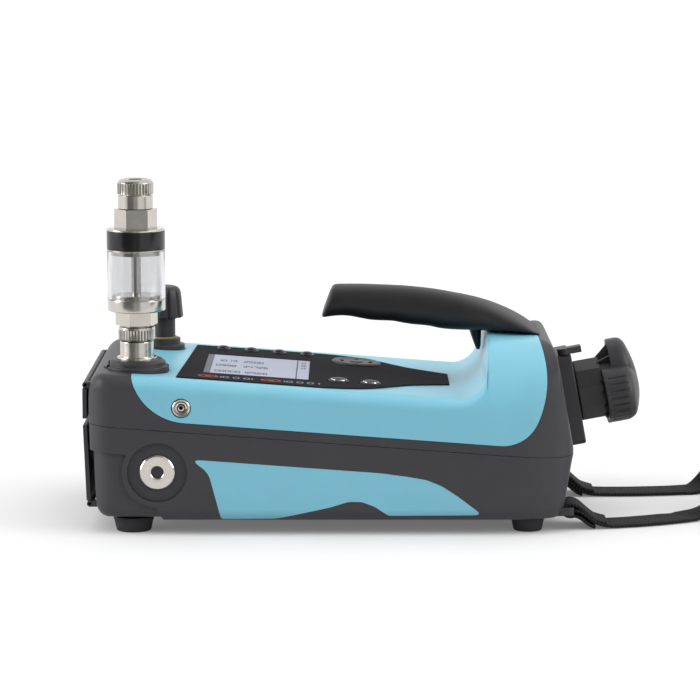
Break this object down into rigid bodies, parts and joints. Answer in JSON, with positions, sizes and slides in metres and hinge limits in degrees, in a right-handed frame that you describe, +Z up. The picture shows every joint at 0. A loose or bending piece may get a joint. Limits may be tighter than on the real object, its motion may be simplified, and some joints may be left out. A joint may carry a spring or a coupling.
{
  "type": "portable pressure calibrator",
  "caption": "Portable pressure calibrator with a carry handle, display deck, moisture trap on the test port, vent valve, side port and rear volume adjuster.",
  "frame": {"origin": "middle of the instrument on the surface it stands on", "axes": "+X to the rear, along the casing; +Y to the far side, away from the side port; +Z up"},
  "size_m": [0.5731, 0.17, 0.2176],
  "materials": {
    "aqua_plastic": "satin moulded, fine grain",
    "grey_plastic": "matt moulded, fine grain",
    "black_rubber": "matt",
    "grip_plastic": "soft-touch grain",
    "steel": "zinc plated",
    "nickel": "nickel plated, turned",
    "aluminium": "machined",
    "brass": "turned",
    "overlay": "satin film",
    "keys": "matt",
    "display_glass": "clear",
    "display": "lit liquid crystal",
    "circuit_board": "solder mask",
    "battery": "shrink sleeve",
    "black_plastic": "matt moulded",
    "clear_bowl": "clear moulded",
    "yellow_ring": "coloured ring",
    "webbing": "woven polyester"
  },
  "bodies": {
    "casing": {"upper_cover": "aqua_plastic", "hump_cover": "aqua_plastic", "upper_frame": "grey_plastic", "lower_case": "grey_plastic", "side_panel_near": "aqua_plastic", "side_panel_far": "aqua_plastic", "handle": "grip_plastic", "handle_bracket": "steel", "handle_screws": "steel", "membrane_panel": "overlay", "lcd_glass": "display_glass", "lcd_module": "display", "main_board": "circuit_board", "board_screws": "steel", "battery_pack": "battery", "door_pin": "steel", "cover_pin": "steel", "socket_strip": "black_plastic", "foot_front_near": "black_rubber", "foot_front_far": "black_rubber", "foot_rear_near": "black_rubber", "foot_rear_far": "black_rubber", "case_screws": "steel", "manifold_block": "aluminium", "pressure_sensor": "steel", "pressure_line": "brass", "port_flange": "black_plastic", "port_nipple": "nickel", "trap_base": "nickel", "trap_bowl": "clear_bowl", "trap_inner_tube": "nickel", "trap_head": "nickel", "trap_band": "black_plastic", "valve_flange": "black_plastic", "valve_ring": "yellow_ring", "valve_stem": "black_plastic", "side_port": "nickel", "dc_jack": "nickel", "rear_plate": "grey_plastic", "adjuster_cylinder": "aluminium", "strap_near": "webbing", "strap_hank": "webbing", "strap_far": "webbing", "strap_tie": "webbing"},
    "soft_key_1": {"soft_key_1": "keys"},
    "soft_key_2": {"soft_key_2": "keys"},
    "soft_key_3": {"soft_key_3": "keys"},
    "soft_key_4": {"soft_key_4": "keys"},
    "nav_pad": {"nav_pad": "keys"},
    "key_left": {"key_left": "keys"},
    "key_right": {"key_right": "keys"},
    "adjuster_knob": {"adjuster_knob": "black_plastic", "adjuster_screw": "steel"},
    "adjuster_piston": {"adjuster_piston": "brass"},
    "valve_knob": {"valve_knob": "black_plastic"},
    "selector_lever": {"selector_lever": "black_plastic"},
    "lower_coupling": {"lower_coupling": "nickel"},
    "top_coupling": {"top_coupling": "nickel"},
    "connector_cover": {"connector_cover": "grey_plastic"},
    "battery_door": {"battery_door": "grey_plastic"}
  },
  "joints": [
    {"name": "soft_key_1_press", "type": "slide", "parent": "casing", "child": "soft_key_1", "axis": [-0.0732, 0, -0.9973], "range_m": [0, 0.0008], "stiffness_N_per_m": 1200},
    {"name": "soft_key_2_press", "type": "slide", "parent": "casing", "child": "soft_key_2", "axis": [-0.0732, 0, -0.9973], "range_m": [0, 0.0008], "stiffness_N_per_m": 1200},
    {"name": "soft_key_3_press", "type": "slide", "parent": "casing", "child": "soft_key_3", "axis": [-0.0732, 0, -0.9973], "range_m": [0, 0.0008], "stiffness_N_per_m": 1200},
    {"name": "soft_key_4_press", "type": "slide", "parent": "casing", "child": "soft_key_4", "axis": [-0.0732, 0, -0.9973], "range_m": [0, 0.0008], "stiffness_N_per_m": 1200},
    {"name": "nav_pad_press", "type": "slide", "parent": "casing", "child": "nav_pad", "axis": [-0.0732, 0, -0.9973], "range_m": [0, 0.0008], "stiffness_N_per_m": 1800},
    {"name": "key_left_press", "type": "slide", "parent": "casing", "child": "key_left", "axis": [-0.0732, 0, -0.9973], "range_m": [0, 0.0008], "stiffness_N_per_m": 1200},
    {"name": "key_right_press", "type": "slide", "parent": "casing", "child": "key_right", "axis": [-0.0732, 0, -0.9973], "range_m": [0, 0.0008], "stiffness_N_per_m": 1200},
    {"name": "adjuster_turn", "type": "hinge", "parent": "casing", "child": "adjuster_knob", "pos_m": [0.13434, 0, 0.077], "axis": [0.9833, 0, 0.1822], "range_deg": [0, 1710]},
    {"name": "piston_slide", "type": "slide", "parent": "casing", "child": "adjuster_piston", "axis": [0.9833, 0, 0.1822], "range_m": [-0.0286, 0]},
    {"name": "valve_turn", "type": "hinge", "parent": "casing", "child": "valve_knob", "pos_m": [-0.13156, 0.05, 0.11801], "axis": [0, 0, 1], "range_deg": [0, 540]},
    {"name": "selector_swing", "type": "hinge", "parent": "casing", "child": "selector_lever", "pos_m": [0.12588, -0.018, 0.1034], "axis": [-0.1822, 0, 0.9833], "range_deg": [-40, 40]},
    {"name": "lower_coupling_spin", "type": "hinge", "parent": "casing", "child": "lower_coupling", "pos_m": [-0.14246, -0.05, 0.11713], "axis": [0, 0, 1], "continuous": true},
    {"name": "top_coupling_spin", "type": "hinge", "parent": "casing", "child": "top_coupling", "pos_m": [-0.14246, -0.05, 0.21663], "axis": [0, 0, 1], "continuous": true},
    {"name": "connector_cover_hinge", "type": "hinge", "parent": "casing", "child": "connector_cover", "pos_m": [-0.17316, 0, 0.09189], "axis": [0, 1, 0], "range_deg": [0, 110]},
    {"name": "battery_door_hinge", "type": "hinge", "parent": "casing", "child": "battery_door", "pos_m": [-0.17119, 0, 0.01746], "axis": [0, -1, 0], "range_deg": [0, 90]}
  ],
  "couplings": [
    {"joint": "piston_slide", "follows": "adjuster_turn", "m_per_rad": -0.00095493}
  ]
}
